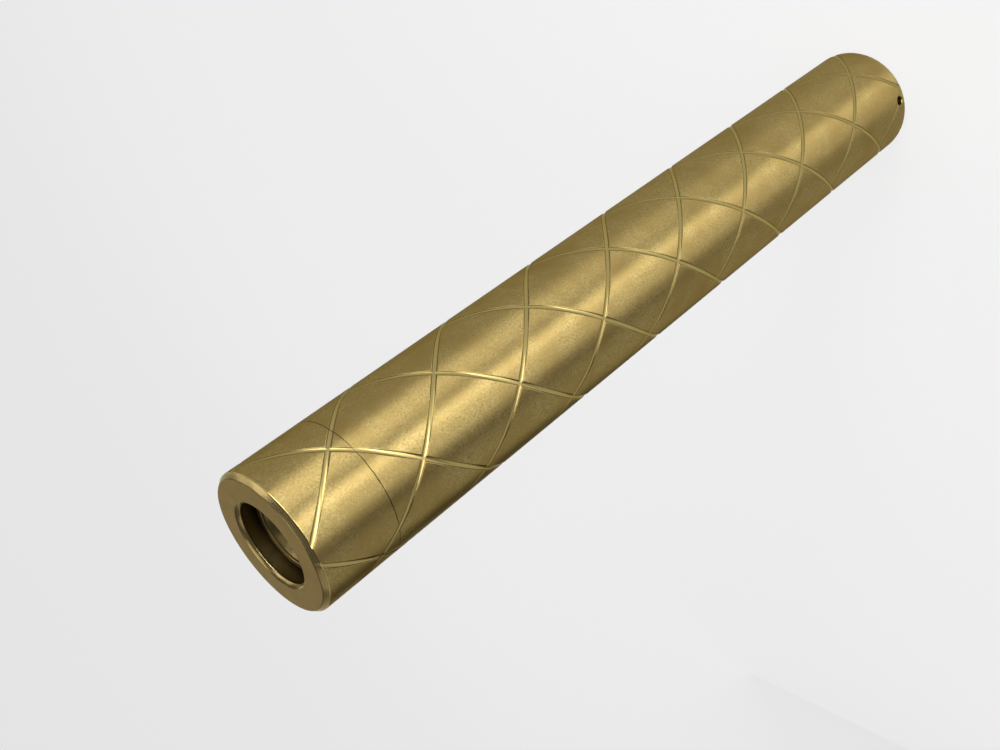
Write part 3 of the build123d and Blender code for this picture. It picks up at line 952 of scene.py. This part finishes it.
# Table: a plain sheet with a pale matt paint, which the pointer stands on. To the camera and in
# reflections it glows mostly white, like the background of the photo.
bpy.ops.object.select_all(action="DESELECT")
bpy.ops.mesh.primitive_plane_add(size=12, location=(-0.8, 1.6, 0))
table = bpy.context.object
table.name = "table"
table_paint = bpy.data.materials.new("pale_matt_table")
table_paint.use_nodes = True
shader = table_paint.node_tree.nodes["Principled BSDF"]
shader.inputs["Base Color"].default_value = hex_colour("#F2F2F2")
shader.inputs["Roughness"].default_value = 0.9
shader.inputs["Specular IOR Level"].default_value = 0.0
ray = add_node(table_paint, "ShaderNodeLightPath")
seen = add_node(
    table_paint,
    "ShaderNodeMath",
    {"operation": "ADD"},
    {0: ray.outputs["Is Camera Ray"], 1: ray.outputs["Is Glossy Ray"]},
)
seen_through = add_node(
    table_paint,
    "ShaderNodeMath",
    {"operation": "ADD"},
    {0: seen.outputs[0], 1: ray.outputs["Is Transmission Ray"]},
)
whitening = add_node(
    table_paint,
    "ShaderNodeMapRange",
    inputs={"Value": seen_through.outputs[0], "To Max": 0.75},
)
whitened = add_node(
    table_paint,
    "ShaderNodeMixShader",
    inputs={
        0: whitening.outputs[0],
        1: shader.outputs["BSDF"],
        2: add_node(table_paint, "ShaderNodeEmission", inputs={"Strength": 1.0}).outputs[0],
    },
)
table_paint.node_tree.links.new(
    whitened.outputs[0], table_paint.node_tree.nodes["Material Output"].inputs["Surface"]
)
table.data.materials.append(table_paint)

# Light: a room with pale walls and a dark ceiling, low panels for the broad band down the
# pointer's middle, taller ones further off, and a wide one high overhead for the flat face. The
# brushing spreads each into a band.
world = bpy.data.worlds.new("pale_room")
bpy.context.scene.world = world
world.use_nodes = True
background = world.node_tree.nodes["Background"]
background.inputs["Color"].default_value = hex_colour("#FFFFFF")
sky_way = add_node(world, "ShaderNodeTexCoord").outputs["Generated"]
sky_height = add_node(world, "ShaderNodeSeparateXYZ", inputs={0: sky_way}).outputs["Z"]
walls_glow = add_node(
    world,
    "ShaderNodeMapRange",
    inputs={
        "Value": sky_height,
        "From Min": 0.12,
        "From Max": 0.32,
        "To Min": 0.5,
        "To Max": 0.1,
    },
)
world.node_tree.links.new(walls_glow.outputs[0], background.inputs["Strength"])


def standing_panel(name, azimuth, distance, width, foot, top, glow):
    """A soft panel lamp that stands upright facing the pointer, of a brightness given as glow.

    The azimuth is in degrees, and the distance and sizes are in mm.
    """
    side = math.radians(azimuth)
    away = Vector((math.cos(side), math.sin(side), 0))
    bpy.ops.object.select_all(action="DESELECT")
    bpy.ops.object.light_add(type="AREA")
    panel = bpy.context.object
    panel.name = name
    panel.location = away * distance * mm + Vector((0, 0, (foot + top) / 2 * mm))
    panel.rotation_euler = away.to_track_quat("Z", "Y").to_euler()
    panel.data.shape = "RECTANGLE"
    panel.data.size = width * mm
    panel.data.size_y = (top - foot) * mm
    panel.data.energy = glow * math.pi * width * (top - foot) * mm**2
    panel.visible_camera = False


standing_panel("low_left_panel", -85, 320, 157, 0, 160, 3.9)
standing_panel("low_middle_panel", -64, 320, 77, 0, 160, 8.4)
standing_panel("near_head_panel", -26, 150, 90, 115, 215, 5.2)
standing_panel("near_middle_panel", -64, 150, 36, 110, 210, 3.0)
standing_panel("tall_middle_panel", -60, 420, 80, 150, 400, 2.8)
standing_panel("tall_right_panel", -22, 420, 100, 150, 470, 1.0)
standing_panel("tall_side_panel", 20, 420, 260, 290, 680, 1.4)
standing_panel("tall_far_side_panel", 52, 420, 180, 200, 470, 0.8)
standing_panel("tall_back_panel", 112, 420, 260, 150, 470, 0.55)
standing_panel("tall_left_panel", -160, 420, 300, 180, 560, 0.35)
ceiling_width = 700 * mm
ceiling_glow = 0.9
bpy.ops.object.select_all(action="DESELECT")
bpy.ops.object.light_add(type="AREA", location=(0, 0, 1300 * mm))
ceiling = bpy.context.object
ceiling.name = "ceiling_panel"
ceiling.data.size = ceiling_width
ceiling.data.energy = ceiling_glow * math.pi * ceiling_width**2
ceiling.visible_camera = False

# Cards: two brown cards that stand beside the pointer and are hidden from the camera. The brass
# mirrors them as the dark streak left of the bright band and as the dark edge of its left side.
card_distance = 200 * mm
card_height = 150 * mm
# Card paper: brown and quite matt, with a soft fibre grain.
card_paper = moulded_finish("brown_card_paper", "#33251A", "#45321F", 0.8, 0.5)
for name, azimuth, width in (("streak_card", -116, 46), ("edge_card", 168, 90)):
    side = math.radians(azimuth)
    bpy.ops.object.select_all(action="DESELECT")
    bpy.ops.mesh.primitive_plane_add(
        size=1,
        location=(
            card_distance * math.cos(side),
            card_distance * math.sin(side),
            card_height / 2,
        ),
        rotation=(quarter, 0, side - quarter),
    )
    card = bpy.context.object
    card.name = name
    card.scale = (width * mm, card_height, 1)
    bpy.ops.object.transform_apply()
    card.visible_camera = False
    card.data.materials.append(card_paper)

# Camera: where the photograph was taken from, close in front of the face and turned on its side,
# so that the head looks much larger than the tail.
camera_data = bpy.data.cameras.new("camera")
camera = bpy.data.objects.new("camera", camera_data)
bpy.context.scene.collection.objects.link(camera)
camera.matrix_world = Matrix(
    (
        (-0.34885, 0.86122, 0.36959, 60.41 * mm),
        (-0.65780, 0.05589, -0.75111, -123.63 * mm),
        (-0.66753, -0.50515, 0.54702, 201.38 * mm),
        (0, 0, 0, 1),
    )
)
camera_data.sensor_width = 36
camera_data.lens = 38.88
camera_data.clip_start = 0.01
bpy.context.scene.camera = camera
bpy.context.scene.view_settings.view_transform = "Standard"
